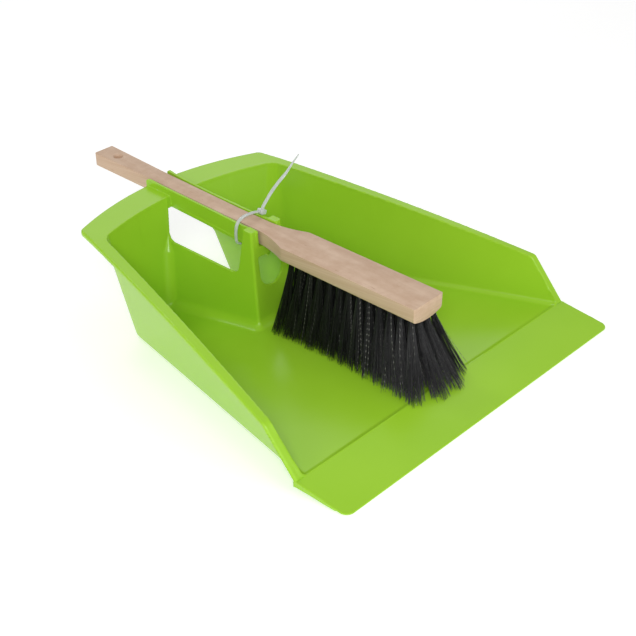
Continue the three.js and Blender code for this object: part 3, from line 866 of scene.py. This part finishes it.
def strap_outline():
    """Round the strap's section: which corner each point belongs to, and which way it lies from there."""
    outline = []
    for across, up in ((1, 1), (-1, 1), (-1, -1), (1, -1)):
        corner = math.atan2(up, across)
        for turn in (-0.5, 0, 0.5):
            outline.append((across, up, math.cos(corner + turn), math.sin(corner + turn)))
    return outline


def make_strap(material):
    slot = np.array((math.sin(HEAD_TURN), math.cos(HEAD_TURN)))
    through = [tuple(np.array(HEAD_AT) + slot * reach) for reach in (-HEAD_REACH, HEAD_REACH)]
    path = smooth_path(LOOP + through + TAIL, 8)
    along = np.concatenate(([0], np.cumsum(np.linalg.norm(np.diff(path, axis=0), axis=1))))
    tangent = np.gradient(path, axis=0)
    tangent /= np.linalg.norm(tangent, axis=1, keepdims=True)
    normal = np.stack((-tangent[:, 1], tangent[:, 0]), 1)
    narrow = np.clip((path[:, 0] - NARROW_X) / (TAIL[-1][0] - NARROW_X), 0, 1)
    widths = between((STRAP_HALF[0], STRAP_TIP_HALF[0]), narrow)
    thicknesses = between((STRAP_HALF[1], STRAP_TIP_HALF[1]), narrow)
    outline = strap_outline()
    vertices = []
    for (x, z), (nx, nz), wide, thick in zip(path, normal, widths, thicknesses):
        for across, up, dx, dz in outline:
            side = across * (wide - STRAP_EASE) + dx * STRAP_EASE
            rise = up * (thick - STRAP_EASE) + dz * STRAP_EASE
            vertices.append((x + nx * rise, TIE_Y + side, z + nz * rise))
    faces = tube_faces(len(path), len(outline))
    strap = object_from("tie_strap", vertices, faces, SET_TO_ROW, material)
    set_attribute(strap, "along", np.repeat(along * 0.001, len(outline)))
    close_ends(strap, len(path), len(outline))
    return strap


def close_ends(made, rings, sides):
    """Cap both ends of a tube and turn its faces outward."""
    work = bmesh.new()
    work.from_mesh(made.data)
    work.verts.ensure_lookup_table()
    work.faces.new([work.verts[i] for i in reversed(range(sides))])
    work.faces.new([work.verts[(rings - 1) * sides + i] for i in range(sides)])
    bmesh.ops.recalc_face_normals(work, faces=work.faces)
    work.to_mesh(made.data)
    work.free()
    smooth(made, 40)


def make_head(material):
    """The tie's head: a block with a slot right through it."""
    across, wide, along = HEAD_SIZE
    corners = [(-0.5, -0.5), (0.5, -0.5), (0.5, 0.5), (-0.5, 0.5)]
    vertices = []
    for level in (-0.5, 0.5):
        for x, y in corners:
            vertices.append((x * across, y * wide, level * along))
        for x, y in corners:
            vertices.append((x * HEAD_SLOT[0], y * HEAD_SLOT[1], level * along))
    faces = []
    for side in range(4):
        after = (side + 1) % 4
        faces.append((side, after, after + 8, side + 8))
        faces.append((side + 4, side + 12, after + 12, after + 4))
        faces.append((side, side + 4, after + 4, after))
        faces.append((side + 8, after + 8, after + 12, side + 12))
    turn = Matrix.Translation((HEAD_AT[0], TIE_Y, HEAD_AT[1])) @ Matrix.Rotation(HEAD_TURN, 4, "Y")
    head = object_from("tie_head", vertices, faces, SET_TO_ROW @ turn, material)
    ease_edges(head, 0.0006)
    apply_modifiers(head)
    smooth(head, 40)
    return head


def make_tie(material):
    strap = make_strap(material)
    head = make_head(material)
    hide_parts("cable_tie")
    for made in (strap, head):
        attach(made, "tie")


# ---------------------------------------------------------------- studio


FLOOR_HALF = 6
WORLD_STRENGTH = 0.45


def make_floor():
    """A plain white floor that glows a little, so that it stays white under the set."""
    shader = Shader(
        "studio_floor", (0.93, 0.93, 0.925), 0.9, Emission_Color=(1, 1, 1, 1), Emission_Strength=0.3
    )
    shade = shader.noise(shader.place(), 2.0, 2)
    tone = shader.ramp(shade, (0.3, (0.925, 0.925, 0.92)), (0.7, (0.935, 0.935, 0.93)))
    shader.link(tone, "Base Color")
    corners = [(x * FLOOR_HALF, y * FLOOR_HALF, 0) for x, y in ((-1, -1), (1, -1), (1, 1), (-1, 1))]
    floor = mesh_object("studio_floor", corners, [(0, 1, 2, 3)], shader.material)


def area_light(name, at, size, power):
    """A square lamp aimed at the middle of the set."""
    data = bpy.data.lights.new(name, "AREA")
    data.shape = "SQUARE"
    data.size = size
    data.energy = power
    light = bpy.data.objects.new(name, data)
    light.location = at
    light.rotation_mode = "QUATERNION"
    light.rotation_quaternion = (Vector((0, 0, 0.05)) - Vector(at)).to_track_quat("-Z", "Y")
    bpy.context.scene.collection.objects.link(light)


def make_lights():
    world = bpy.data.worlds.new("studio")
    world.use_nodes = True
    background = world.node_tree.nodes["Background"]
    background.inputs["Color"].default_value = (1, 1, 1, 1)
    background.inputs["Strength"].default_value = WORLD_STRENGTH
    bpy.context.scene.world = world
    area_light("key", (-1.3, -1.4, 1.2), 0.6, 20)
    area_light("front_fill", (0.3, -2.0, 1.0), 1.2, 6)
    area_light("left_fill", (-1.9, 0.2, 1.3), 0.8, 5)
    area_light("sheen", (1.6, 1.5, 1.4), 1.8, 8)
    area_light("back", (0.1, 1.3, 1.9), 0.4, 4.5)
    bpy.context.scene.view_settings.view_transform = "Standard"


# ---------------------------------------------------------------- scene

make_camera()
make_pan(green_plastic())
make_wood(beech())
fibre = bristle_fibre()
for tuft_row in range(ROWS):
    make_bristles(tuft_row, np.random.default_rng(FIRST_SEED + tuft_row), fibre)
make_tie(clear_nylon())
make_floor()
make_lights()
